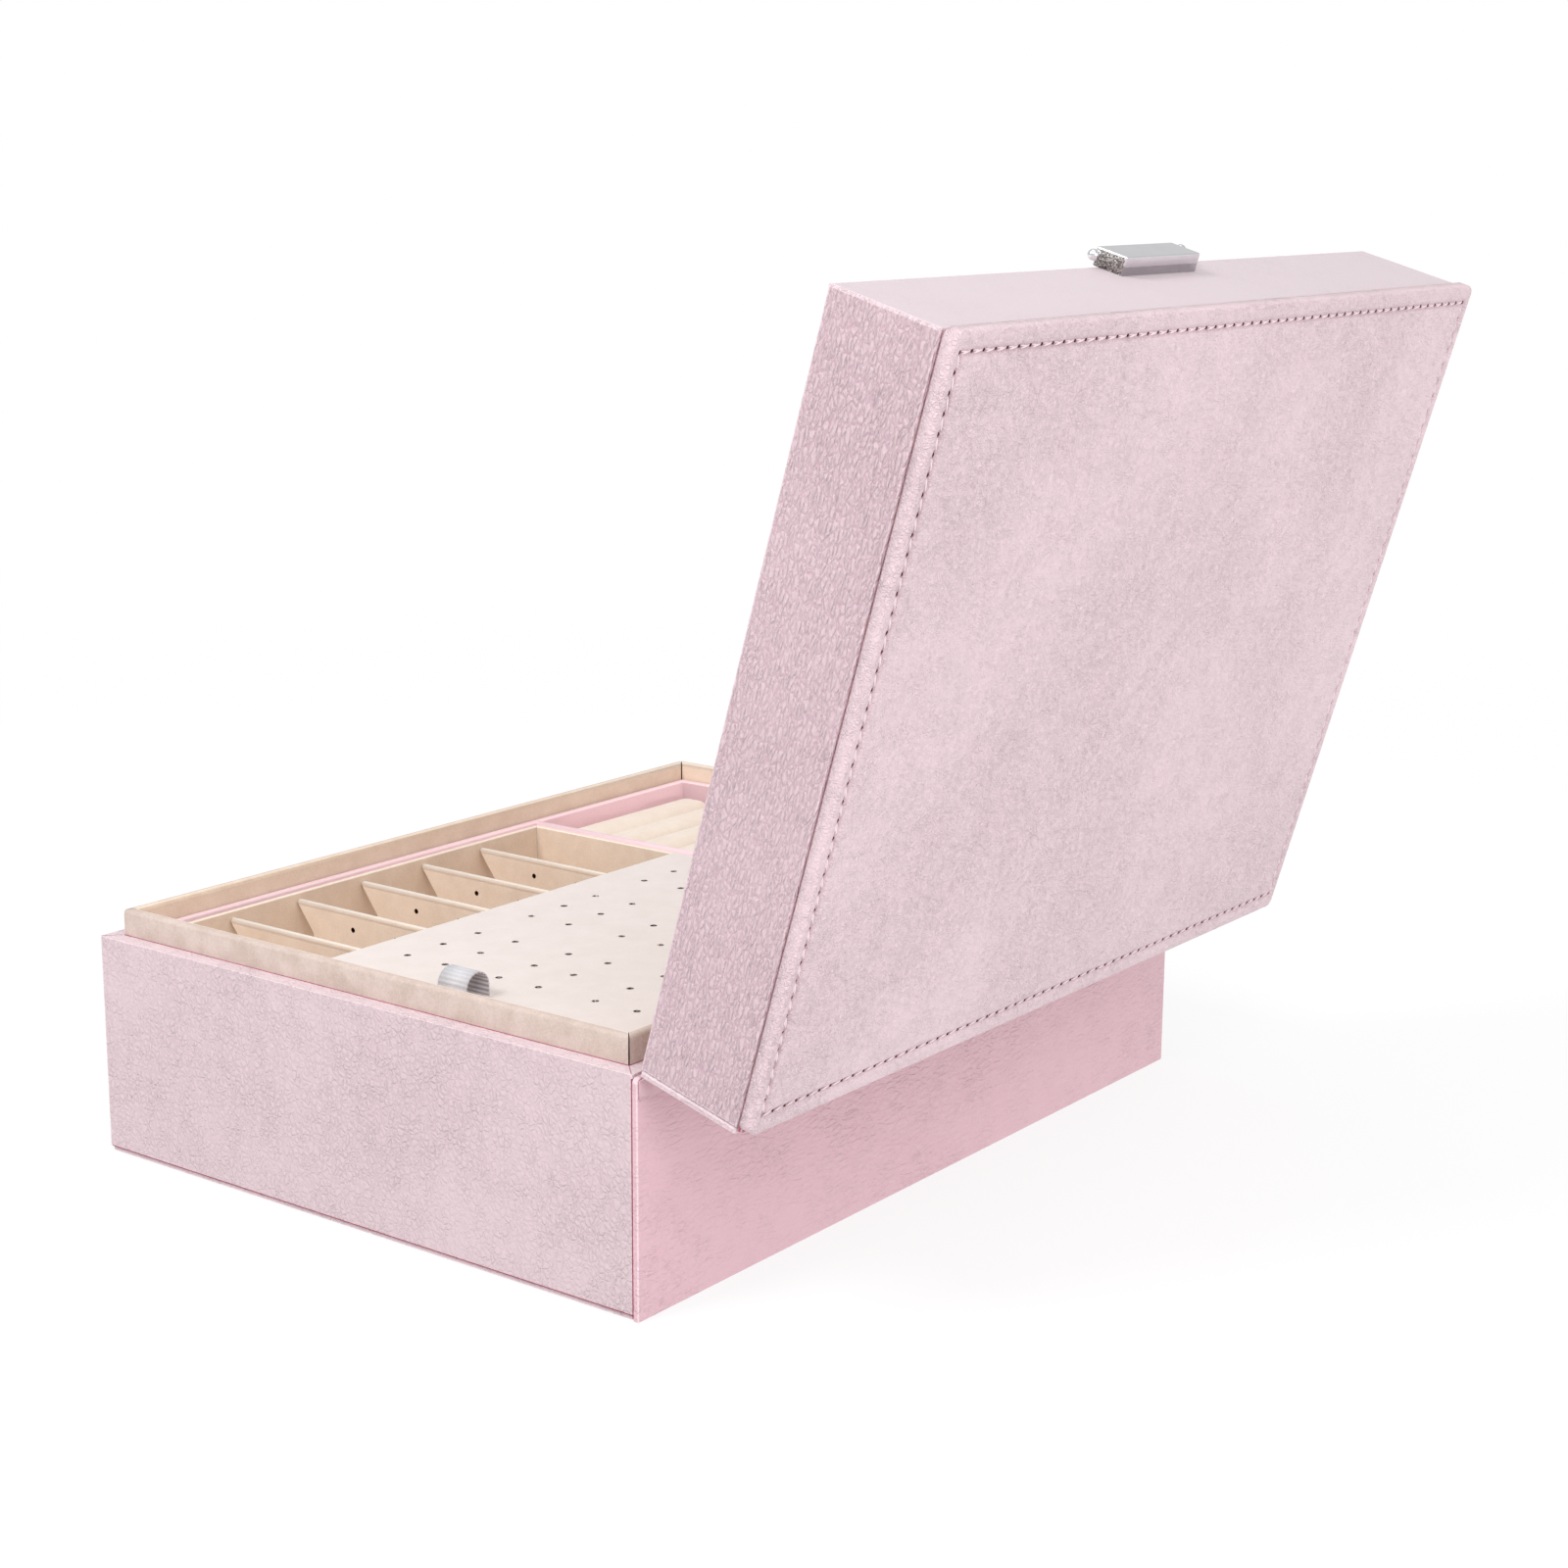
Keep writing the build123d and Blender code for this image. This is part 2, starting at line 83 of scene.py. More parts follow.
# ------------------------------------------------------------------ leatherette
# Embossed polyurethane on paper, glued round the boards. The grain is a net of creases round small
# pebbles: coarse and drawn out on the lid's sides, finer on the base. The creases are painted darker, a
# painted shade. Folds are painted paler: partly stretched skin, partly a painted highlight.
class Wire:
    """A socket in a material's node tree. Arithmetic on it adds Math nodes, node() any other node."""

    def __init__(self, tree, socket=None):
        self.tree, self.socket = tree, socket

    def node(self, kind, inputs=None, output=0, **settings):
        """Adds a node, with its settings first and then its sockets' values or links."""
        made = self.tree.nodes.new("ShaderNode" + kind)
        for name, value in settings.items():
            setattr(made, name, value)
        for key, value in (inputs or {}).items():
            if isinstance(value, Wire):
                self.tree.links.new(value.socket, made.inputs[key])
            else:
                made.inputs[key].default_value = value
        return Wire(self.tree, made.outputs[output])

    def maths(self, operation, first, second):
        return self.node("Math", {0: first, 1: second}, operation=operation)

    def __add__(self, other):
        return self.maths("ADD", self, other)

    def __sub__(self, other):
        return self.maths("SUBTRACT", self, other)

    def __rsub__(self, other):
        return self.maths("SUBTRACT", other, self)

    def __mul__(self, other):
        return self.maths("MULTIPLY", self, other)

    __radd__ = __add__
    __rmul__ = __mul__


def tone(red, green, blue):
    """A colour from its display values, 0 to 255."""
    return (*(((c / 255 + 0.055) / 1.055) ** 2.4 for c in (red, green, blue)), 1)


def new_material(name, **constants):
    """A material with one Principled shader. Returns it and a wire to build its nodes with."""
    made = bpy.data.materials.new(name)
    made.use_nodes = True
    for socket, value in constants.items():
        made.node_tree.nodes["Principled BSDF"].inputs[socket.replace("_", " ")].default_value = value
    return made, Wire(made.node_tree)


def surface(made, wire, base, rough, height, depth):
    """Links colour, roughness and a bump of that depth in millimetres to the shader."""
    shader = made.node_tree.nodes["Principled BSDF"]
    bump = wire.node("Bump", {"Height": height, "Distance": depth * mm})
    for socket, value in (("Base Color", base), ("Roughness", rough), ("Normal", bump)):
        made.node_tree.links.new(value.socket, shader.inputs[socket])


def mixed(factor, first, second):
    """A colour between two colours or wires."""
    return factor.node("Mix", {0: factor, 6: first, 7: second}, output=2, data_type="RGBA")


def smooth(value, low, high):
    """0 below low, 1 above high, and an even curve between."""
    return value.node("MapRange", {"Value": value, "From Min": low, "From Max": high},
                      interpolation_type="SMOOTHSTEP")


def leatherette(name, pale, deep, pebbles, stretch=(1, 1, 1), turn=0.0, depth=0.3, gloss=0.5,
                evenness=0.35, lines=0.5, wander=0.0022):
    """Leatherette with that many pebbles per metre, on pieces that are turned by an angle about X."""
    made, wire = new_material(name, Sheen_Weight=0.12, Sheen_Roughness=0.5, Specular_IOR_Level=0.45)
    point = wire.node("Mapping", {"Vector": wire.node("TexCoord", output=3), "Rotation": (-turn, 0, 0)})
    drawn = wire.node("VectorMath", {0: point, 1: stretch}, operation="MULTIPLY")
    drift = wire.node("TexNoise", {"Vector": drawn, "Scale": pebbles * 0.4, "Detail": 1.5}, output=1)
    shift = wire.node("VectorMath", {0: drift, 1: (0.5, 0.5, 0.5)}, operation="SUBTRACT")
    wandering = wire.node("VectorMath", {0: shift, 1: (wander,) * 3, 2: drawn}, operation="MULTIPLY_ADD")
    large = wire.node("TexVoronoi", {"Vector": wandering, "Scale": pebbles}, feature="DISTANCE_TO_EDGE")
    small = wire.node("TexVoronoi", {"Vector": wandering, "Scale": pebbles * 2.1},
                      feature="DISTANCE_TO_EDGE")
    wrinkles = wire.node("TexNoise", {"Vector": wandering, "Scale": pebbles * 0.7, "Detail": 3.0})
    areas = smooth(wire.node("TexNoise", {"Vector": point, "Scale": 17.0, "Detail": 1.0}), 0.35, 0.65)
    local = smooth(wire.node("TexNoise", {"Vector": point, "Scale": 150.0, "Detail": 2.0}), 0.3, 0.7)
    strength = evenness + (1 - evenness) * (0.5 * areas + 0.5 * local)
    dome, fine = smooth(large, 0.0, 0.3), smooth(small, 0.0, 0.35)
    pores = wire.node("TexNoise", {"Vector": point, "Scale": 3000.0, "Detail": 2.0})
    waves = wire.node("TexNoise", {"Vector": point, "Scale": 45.0, "Detail": 1.0})
    height = strength * (dome * 0.6 + fine * 0.25 + wrinkles * 0.5) + 0.05 * pores + waves
    # Painted shade: the crease mask mixes the deep tone into the creases, and also roughens them.
    crease_shade = (1 - smooth(large, 0.0, 0.1)) * strength * lines
    fold = wire.node("Attribute", output=2, attribute_name="fold")
    colour = mixed(crease_shade + (waves - 0.5) * 0.15 + (areas - 0.5) * 0.06, pale, deep)
    # Marked folds are painted paler: partly stretched skin, partly a painted highlight.
    colour = mixed(fold * 0.45, colour, tone(246, 226, 232))
    # Marks below zero paint a darker tone: painted shade along the padded top's seam.
    colour = mixed((0 - fold) * 0.7, colour, tone(168, 122, 136))
    surface(made, wire, colour, gloss + 0.12 * crease_shade + 0.08 * (pores - 0.5), height, depth)
    return made


# ------------------------------------------------------------------ base: walls in one wrap
# Four greyboard walls, 4.3 mm with their wrap, mitred at the corners. One skin goes all the way round
# them and turns over the rim in small folds. It is cut at each corner of the rim, which leaves a slit.
def solid(low, high):
    """A bmesh box between two corners."""
    bm = bmesh.new()
    size = Vector(high) - Vector(low)
    middle = (Vector(high) + Vector(low)) / 2
    bmesh.ops.create_cube(bm, size=1, matrix=Matrix.Translation(middle) @ Matrix.Diagonal((*size, 1)))
    return bm


def folded(bm, edges, radius, segments=4):
    """Rounds the edges, and marks the rounds in an attribute that the materials read to paint them paler: a
    painted highlight.
    """
    layer = bm.faces.layers.float.get("fold") or bm.faces.layers.float.new("fold")
    made = bmesh.ops.bevel(bm, geom=list(edges), offset=radius, segments=segments, profile=0.5,
                           affect="EDGES", clamp_overlap=True, material=-1)
    for face in made["faces"]:
        face[layer] = 1.0


def sharp(bm, least=25):
    """The edges where two faces meet at more than that angle, in degrees."""
    return [e for e in bm.edges if len(e.link_faces) == 2 and e.calc_face_angle() > radians(least)]


def wall_ring(low, high, thickness):
    """Four walls in one skin round the sides of a box."""
    bm = solid(low, high)
    ends = [face for face in bm.faces if abs(face.normal.z) > 0.9]
    bmesh.ops.inset_individual(bm, faces=ends, thickness=thickness, use_even_offset=True)
    loops = [edge for face in ends for edge in face.edges]
    bmesh.ops.delete(bm, geom=ends, context="FACES_ONLY")
    bmesh.ops.bridge_loops(bm, edges=loops)
    bmesh.ops.recalc_face_normals(bm, faces=bm.faces)
    return bm


def make_piece(name, bm, materials, body, nodes=(), place=None, even=True):
    """Turns a bmesh into a piece that rides on a body and stands for some CAD nodes."""
    if place:
        bm.transform(place)
    bmesh.ops.recalc_face_normals(bm, faces=bm.faces)
    mesh = bpy.data.meshes.new(name)
    bm.to_mesh(mesh)
    bm.free()
    for material in materials:
        mesh.materials.append(material)
    mesh.shade_smooth()
    piece = bpy.data.objects.new(name, mesh)
    bpy.context.scene.collection.objects.link(piece)
    if even:
        piece.modifiers.new("even_shading", "WEIGHTED_NORMAL").keep_sharp = True
    if body:
        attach(piece, body)
    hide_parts(*nodes)
    return piece


sides = ("front", "right", "back", "left")


def four(name):
    """The names of four walls."""
    return [f"{name}_{side}" for side in sides]


def ring_corners(name, box=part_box):
    """The corners of the box round four walls."""
    lows, highs = zip(*(box(node) for node in four(name)))
    return Vector(map(min, *lows)), Vector(map(max, *highs))


def outer_corners(bm, high):
    """The upright edges on the outside of a wall ring that ends at that corner."""
    return [e for e in sharp(bm) if abs((e.verts[0].co - e.verts[1].co).z) > 10 * mm
            and max(abs(v.co.x) for v in e.verts) > high.x - mm]


base_leather = leatherette("leatherette_base", tone(210, 189, 194), tone(176, 144, 155), 700.0,
                           depth=0.42, evenness=0.4, lines=0.25, stretch=(1, 1, 0.8))
wall_fold = 0.45 * mm
wall_corner = 0.7 * mm
hair = mm / 10    # places closer together than this count as one
base_low, base_high = ring_corners("base_wall")
base_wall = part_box("base_wall_left")[1].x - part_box("base_wall_left")[0].x
bm = wall_ring(base_low, base_high, base_wall)
corners = outer_corners(bm, base_high)
folded(bm, [e for e in corners if e.verts[0].co.y < 0], wall_corner)
folded(bm, [e for e in corners if e.is_valid and e.verts[0].co.y > 0], 0.3 * mm, segments=2)
folded(bm, [e for e in sharp(bm, 40) if min(v.co.z for v in e.verts) > base_high.z - hair], wall_fold)
# The rim's top faces are marked too, so they are painted pale all over: a painted highlight.
for face in bm.faces:
    if face.normal.z > 0.9:
        face[bm.faces.layers.float["fold"]] = 1.0
make_piece("base_wrap", bm, [base_leather], "case", four("base_wall"))


# ------------------------------------------------------------------ base: painted shade in the slits and joints
# The slits where the turned-over skin is cut at the rim's mitres, and the joints between the walls,
# the collar and the cover's boards, as dark bars that paint the shade in them. All of them are thin bars
# that just show.
def speckled(name, low, high, scale, rough, spread, depth, detail=2.0, **constants):
    """A plain finish between two colours: one fine noise sets its colour, roughness and bump."""
    made, wire = new_material(name, **constants)
    specks = wire.node("TexNoise", {"Vector": wire.node("TexCoord", output=3), "Scale": scale,
                                    "Detail": detail})
    surface(made, wire, mixed(specks, low, high), rough + spread * specks, specks, depth)
    return made


def bar(bm, middle, size, turn=0.0):
    """Adds a box with that middle and size, turned about Z by an angle in degrees. Returns its corners."""
    turned = Matrix.Translation(middle) @ Matrix.Rotation(radians(turn), 4, "Z")
    return bmesh.ops.create_cube(bm, size=1, matrix=turned @ Matrix.Diagonal((*size, 1)))["verts"]


slit_and_joint_shade = speckled("slit_and_joint_shade", tone(150, 78, 96), tone(184, 108, 126), 900.0, 0.8, 0.1, 0.05,
                     Specular_IOR_Level=0.1)
slit_length, slit_width, slit_height = base_wall * 1.18, 0.16 * mm, 0.06 * mm
bm = bmesh.new()
for side_x in (-1, 1):
    for end, edge_y in ((-1, base_low.y), (1, base_high.y)):
        corner = Vector((side_x * base_high.x, edge_y, base_high.z))
        inward = Vector((-side_x, -end, 0)) * base_wall / 2
        bar(bm, corner + inward, (slit_length, slit_width, slit_height), 45 if side_x == end else -45)
back_joint = (base_high.y - 0.2 * mm, 0.8 * mm), (base_high.y + 0.06 * mm, base_high.z - mm)
bottom_joint = (base_low.y + mm, base_low.z - 0.1 * mm), (base_high.y, base_low.z + 0.14 * mm)
for side_x in (-1, 1):
    joint_x = side_x * (base_high.x + 0.02 * mm - mm / 2)
    for (low_y, low_z), (high_y, high_z) in (back_joint, bottom_joint):
        bar(bm, (joint_x, (low_y + high_y) / 2, (low_z + high_z) / 2), (mm, high_y - low_y, high_z - low_z))
collar_low, collar_high = ring_corners("collar")
collar_middle, collar_depth = (collar_high.y + collar_low.y) / 2, collar_high.y - collar_low.y
for x in (-collar_high.x, collar_high.x):
    bar(bm, (x, collar_middle, base_high.z), (slit_width, collar_depth, 0.3 * mm))
for y in (collar_low.y, collar_high.y):
    bar(bm, (0, y, base_high.z), (2 * collar_high.x, slit_width, 0.3 * mm))
make_piece("rim_slit_and_joint_shade", bm, [slit_and_joint_shade], "case")


# ------------------------------------------------------------------ cover: boards of the outer cover
# Wrapped boards, glued to the case: one below, one behind the base and one behind the lid. The upper
# corners of the base's back board are a little rounded, where the skin turns towards the hinge.
lid_hinge = next(joint for joint in frame["joints"] if joint["name"] == "lid_hinge")
lid_turn = radians(lid_hinge["range_deg"][0])
lid_place = Matrix.Translation(lid_hinge["pos_m"]) @ Matrix.Rotation(lid_turn, 4, "X")


def lid_box(node):
    """The corners of a lid piece's box, with the lid closed and the origin on the hinge axis."""
    to_closed = lid_place.inverted()
    corners = np.array([to_closed @ v.co for v in frame["nodes"][node].data.vertices])
    return Vector(corners.min(0)), Vector(corners.max(0))


def cover_board(name, node, material, body, radius=0.4, lid=False, corner=None):
    """A wrapped board with a fold of that radius in millimetres, and larger upper corners if given."""
    low, high = lid_box(node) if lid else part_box(node)
    bm = solid(low, high)
    if corner:
        folded(bm, [e for e in bm.edges if e.verts[0].co.z > high.z - hair
                    and abs((e.verts[0].co - e.verts[1].co).y) > mm / 2], corner * mm)
    folded(bm, sharp(bm, 40), radius * mm)
    make_piece(name, bm, [material], body, [node], place=lid_place if lid else None)


back_leather = leatherette("leatherette_back", tone(217, 179, 188), tone(200, 154, 167), 520.0,
                           depth=0.42, evenness=0.15, lines=0.2, stretch=(0.5, 1, 1.2))
# The lid's top board is dark maroon: painted shade in the narrow gap between the lid walls and the padded
# top.
gap_shade_leather = leatherette("leatherette_shaded", tone(160, 76, 98), tone(126, 52, 72), 780.0,
                          turn=lid_turn, depth=0.08)
cover_board("bottom_cover", "bottom_board", base_leather, "case")
cover_board("back_cover", "back_board", back_leather, "case", radius=0.3, corner=1.3)
cover_board("lid_back_cover", "lid_back_board", base_leather, "lid", radius=0.45, lid=True)
cover_board("lid_top_cover", "lid_top_board", gap_shade_leather, "lid", radius=0.3, lid=True)


# ------------------------------------------------------------------ lid: walls in one wrap
# Four boards, 3.7 mm with their wrap, made with the lid closed and then turned open with it. The grain
# of the skin is drawn out along the sides, and the front's skin is smoother.
lid_leather = leatherette("leatherette_lid", tone(211, 186, 193), tone(174, 138, 151), 1000.0,
                          stretch=(1, 0.36, 1), turn=lid_turn, depth=0.5, evenness=0.75, lines=0.6,
                          wander=0.001)
front_leather = leatherette("leatherette_front", tone(206, 191, 196), tone(191, 169, 176), 900.0,
                            turn=lid_turn, depth=0.12, evenness=0.2, lines=0.1)
lid_low, lid_high = ring_corners("lid_wall", lid_box)
left_low, left_high = lid_box("lid_wall_left")
lid_wall = left_high.x - left_low.x
bm = wall_ring(lid_low, lid_high, lid_wall)
folded(bm, outer_corners(bm, lid_high), wall_corner)
folded(bm, [e for e in sharp(bm, 40) if abs((e.verts[0].co - e.verts[1].co).z) < 0.01 * mm
            and e.calc_length() > 5 * mm], wall_fold)
for face in bm.faces:
    if face.normal.y < -0.9 and face.calc_center_median().y < lid_low.y + mm:
        face.material_index = 1
make_piece("lid_wrap", bm, [lid_leather, front_leather], "lid", four("lid_wall"),
           place=lid_place)


# ------------------------------------------------------------------ hinge: skin of the cover
# The cover's skin runs on from one back board to the other, and is the hinge. It is glued to both
# boards and free between them, where it bends with the lid.
def bent_strip(name, profile, half_width, thickness, material, node, start, end, steps=24):
    """A strip of cloth along X on a profile of (Y, Z) points, which bends where the lid turns."""
    bm = bmesh.new()
    rows = [bm.verts.new((-half_width, y, z)) for y, z in profile]
    line = [bm.edges.new(pair) for pair in zip(rows, rows[1:])]
    for _ in range(steps):
        grown = bmesh.ops.extrude_edge_only(bm, edges=line)["geom"]
        line = [g for g in grown if isinstance(g, bmesh.types.BMEdge)]
        moved = [g for g in grown if isinstance(g, bmesh.types.BMVert)]
        line = [e for e in line if all(v in moved for v in e.verts)]
        bmesh.ops.translate(bm, verts=moved, vec=(2 * half_width / steps, 0, 0))
    bmesh.ops.recalc_face_normals(bm, faces=bm.faces)
    bmesh.ops.solidify(bm, geom=bm.faces[:], thickness=thickness)
    piece = make_piece(name, bm, [material], None, [node], even=False)
    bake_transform(piece, "case", "lid", start=start, end=end)


def on_lid(depth, height):
    """Where a point of the closed lid's side view, in metres from the hinge axis, lies with it open."""
    return lid_place @ Vector((0, depth, height))


back_face, back_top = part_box("back_board")[1].yz
lid_back_low, lid_back_high = lid_box("lid_back_board")
skin = 0.12 * mm
overlap = (0.6, 1.5, 3.0, 5.0)    # millimetres from each board's edge
glued = [(back_face + skin, back_top - step * mm) for step in reversed(overlap)]
turned = [on_lid(lid_back_high.y + skin, lid_back_low.z + step * mm) for step in overlap]
fold_point = ((glued[-1][0] + turned[0].y) / 2 + 0.05 * mm, (glued[-1][1] + turned[0].z) / 2 - 0.05 * mm)
bent_strip("hinge_skin", glued + [fold_point] + [(p.y, p.z) for p in turned],
           lid_high.x - 0.5 * mm, 0.2 * mm, back_leather, "hinge_strip",
           start=(0, back_face, back_top), end=on_lid(lid_back_high.y, lid_back_low.z))


# ------------------------------------------------------------------ padded top of the lid
# Soft leather over thin foam, sewn to its board along a line near the edge. The border is a rolled
# lip, the seam is sunk, and the leather puckers a little between the stitches.
pad_leather = leatherette("leather_padded", tone(226, 202, 208), tone(202, 170, 180), 1150.0,
                          turn=lid_turn, depth=0.34, gloss=0.42, evenness=0.5, lines=0.35)
pad_low, pad_high = lid_box("top_panel")
pad_radius, pad_corner = 0.9 * mm, 2.2 * mm
seam_side, seam_front, seam_back = 2.8 * mm, 4.2 * mm, 4.4 * mm
seam_low = Vector((pad_low.x + seam_side, pad_low.y + seam_front))
seam_high = Vector((pad_high.x - seam_side, pad_high.y - seam_back))
seam_middle, seam_half = (seam_low + seam_high) / 2, (seam_high - seam_low) / 2
stitch = 4.1 * mm
seam_depth = 0.8 * mm
crown = 0.7 * mm


def from_seam(x, y):
    """Distance from the seam, negative inside it, and the place along it."""
    over_x, over_y = abs(x - seam_middle.x) - seam_half.x, abs(y - seam_middle.y) - seam_half.y
    distance = hypot(max(over_x, 0), max(over_y, 0)) + min(max(over_x, over_y), 0)
    return distance, (y - seam_low.y if over_x > over_y else x - seam_low.x)


def pad_height(x, y, slack):
    """Height of the padded leather above its lowest edge, at a point of the closed lid."""
    edge = min(x - pad_low.x, pad_high.x - x, y - pad_low.y, pad_high.y - y)
    drop = max(pad_radius - edge, 0)
    height = pad_high.z - pad_radius + (max(pad_radius ** 2 - drop ** 2, 0)) ** 0.5
    distance, along = from_seam(x, y)
    pull = 0.8 + 0.2 * cos(2 * pi * along / stitch)
    height -= seam_depth * pull * exp(-(distance / (0.75 * mm)) ** 2)
    inside = max(-distance, 0)
    height += crown * (1 - exp(-inside / (7 * mm))) * min(inside / mm, 1)
    pucker = noise.noise(Vector((x, y, 0)) / (1.6 * mm)) * exp(-abs(distance) / (2.2 * mm))
    return height + 0.1 * mm * pucker + slack * (1 - exp(-inside / (4 * mm)))


def pad_places(low, high):
    """Grid lines across the pad: close together over the rolled edge and the seam, even between."""
    close = [0, 0.08, 0.25, 0.5, 0.8, 1.2, 1.7, 2.2, 2.6, 3.0, 3.4, 3.8, 4.2, 4.6, 5.2, 5.8, 6.2, 6.6, 7.2]
    border, spacing = (close[-1] + 1) * mm, 1.05 * mm
    even = np.linspace(low + border, high - border, int((high - low - 2 * border) / spacing))
    return [low + c * mm for c in close] + list(even) + [high - c * mm for c in reversed(close)]


def slack_leather(width, depth):
    """Cloth held at its rim and blown up a little. Returns how far a grid of its points rose."""
    across, along = 96, 72
    bm = bmesh.new()
    bmesh.ops.create_grid(bm, x_segments=across, y_segments=along, size=0.5,
                          matrix=Matrix.Diagonal((width, depth, 1, 1)))
    for vert in bm.verts:
        vert.co.z = 0.2 * mm * noise.noise(vert.co * 60)
    mesh = bpy.data.meshes.new("slack")
    bm.to_mesh(mesh)
    bm.free()
    cloth = bpy.data.objects.new("slack", mesh)
    bpy.context.scene.collection.objects.link(cloth)
    held = cloth.vertex_groups.new(name="held")
    held.add([v.index for v in mesh.vertices if abs(v.co.x) > width * 0.499
              or abs(v.co.y) > depth * 0.499], 1.0, "REPLACE")
    settings = cloth.modifiers.new("cloth", "CLOTH").settings
    settings.vertex_group_mass = "held"
    settings.quality = 6
    settings.mass = 0.25
    settings.tension_stiffness = settings.compression_stiffness = 20
    settings.bending_stiffness = 0.3
    settings.shrink_min = -0.004
    settings.use_pressure = True
    settings.uniform_pressure_force = 0.35
    settings.effector_weights.gravity = 0
    scene = bpy.context.scene
    for step in range(1, 21):
        scene.frame_set(step)
    risen = cloth.evaluated_get(bpy.context.evaluated_depsgraph_get())
    heights = np.array([v.co.z for v in risen.data.vertices])
    places = np.array([v.co[:2] for v in mesh.vertices])
    scene.frame_set(1)
    bpy.data.objects.remove(cloth)
    rows = heights[np.lexsort((places[:, 0].round(6), places[:, 1].round(6)))]
    return rows.reshape(along + 1, across + 1)


def slack_at(rise, x, y):
    """The cloth's rise at a point of the pad, evened out and capped."""
    rows, columns = rise.shape
    u = min(max((x - seam_low.x) / (2 * seam_half.x), 0), 0.9999) * (columns - 1)
    v = min(max((y - seam_low.y) / (2 * seam_half.y), 0), 0.9999) * (rows - 1)
    i, j, s, t = int(v), int(u), v % 1, u % 1
    near = rise[i, j] * (1 - t) + rise[i, j + 1] * t
    far = rise[i + 1, j] * (1 - t) + rise[i + 1, j + 1] * t
    return near * (1 - s) + far * s


rise = slack_leather(2 * seam_half.x, 2 * seam_half.y)
rise = (rise - np.median(rise)).clip(-1.5 * mm, 1.5 * mm) * 0.4
lines_x, lines_y = pad_places(pad_low.x, pad_high.x), pad_places(pad_low.y, pad_high.y)
bm = bmesh.new()
seam_shade = bm.verts.layers.float.new("fold")
bmesh.ops.create_grid(bm, x_segments=len(lines_x) - 1, y_segments=len(lines_y) - 1, size=0.5)
for vert in bm.verts:
    x = lines_x[round((vert.co.x + 0.5) * (len(lines_x) - 1))]
    y = lines_y[round((vert.co.y + 0.5) * (len(lines_y) - 1))]
    z = pad_height(x, y, slack_at(rise, x, y))
    corner_x = min(max(x, pad_low.x + pad_corner), pad_high.x - pad_corner)
    corner_y = min(max(y, pad_low.y + pad_corner), pad_high.y - pad_corner)
    if x != corner_x and y != corner_y:
        u, v = x - corner_x, y - corner_y
        pull = max(abs(u), abs(v)) / hypot(u, v)
        x, y = corner_x + u * pull, corner_y + v * pull
    vert.co = (x, y, z)
    # Painted shade: marks below zero darken the leather along the sunk seam.
    vert[seam_shade] = -exp(-((from_seam(x, y)[0] + 0.1 * mm) / (0.45 * mm)) ** 2)
rim = [edge for edge in bm.edges if edge.is_boundary]
skirt = bmesh.ops.extrude_edge_only(bm, edges=rim)["geom"]
for vert in (g for g in skirt if isinstance(g, bmesh.types.BMVert)):
    vert.co.z = pad_low.z
bmesh.ops.contextual_create(bm, geom=[edge for edge in bm.edges if edge.is_boundary])
pad = make_piece("padded_top", bm, [pad_leather], "lid", ["top_panel", "top_foam"],
                 place=lid_place, even=False)


# ------------------------------------------------------------------ stitching round the padded top
# Lockstitch in a pale two-ply thread. Each stitch dives into the needle holes at its ends, where
# flat dark dots paint the shade in the holes.
thread = speckled("thread", tone(230, 206, 212), tone(250, 236, 240), 2600.0, 0.55, 0.2, 0.08,
                  Sheen_Weight=0.3)
hole_shade = speckled("needle_hole", tone(66, 26, 38), tone(98, 48, 60), 1500.0, 0.85, 0.1, 0.03,
                  Specular_IOR_Level=0.1)

seam_top = pad_high.z - seam_depth
ply_width, ply_height, hole_radius = 0.23 * mm, 0.22 * mm, 0.5 * mm
threads, holes = bmesh.new(), bmesh.new()
seam_corners = [seam_low, Vector((seam_high.x, seam_low.y)), seam_high, Vector((seam_low.x, seam_high.y))]
for first, last in zip(seam_corners, seam_corners[1:] + seam_corners[:1]):
    run = last - first
    count = round(run.length / stitch)
    heading = Matrix.Rotation(Vector((1, 0)).angle_signed(run) * -1, 4, "Z")
    for number in range(count):
        middle = first + run * (number + 0.5) / count
        lean = radians(8 + 2 * noise.noise(Vector((*middle, 0)) * 900))
        place = Matrix.Translation((*middle, seam_top + 0.2 * mm)) @ heading
        for way in (-1, 1):
            bmesh.ops.create_uvsphere(
                threads, u_segments=6, v_segments=5, radius=1,
                matrix=place @ Matrix.Rotation(lean * way * 0.6 + radians(7), 4, "Z")
                @ Matrix.Translation((0, 0.12 * way * mm, 0.1 * way * mm))
                @ Matrix.Diagonal((run.length / count * 0.41, ply_width, ply_height, 1)))
        hole = first + run * number / count
        bmesh.ops.create_uvsphere(
            holes, u_segments=8, v_segments=4, radius=1,
            matrix=Matrix.Translation((*hole, seam_top + 0.12 * mm))
            @ Matrix.Diagonal((hole_radius, hole_radius, 0.2 * mm, 1)))
make_piece("stitching", threads, [thread], "lid", place=lid_place, even=False)
make_piece("needle_holes", holes, [hole_shade], "lid", place=lid_place, even=False)


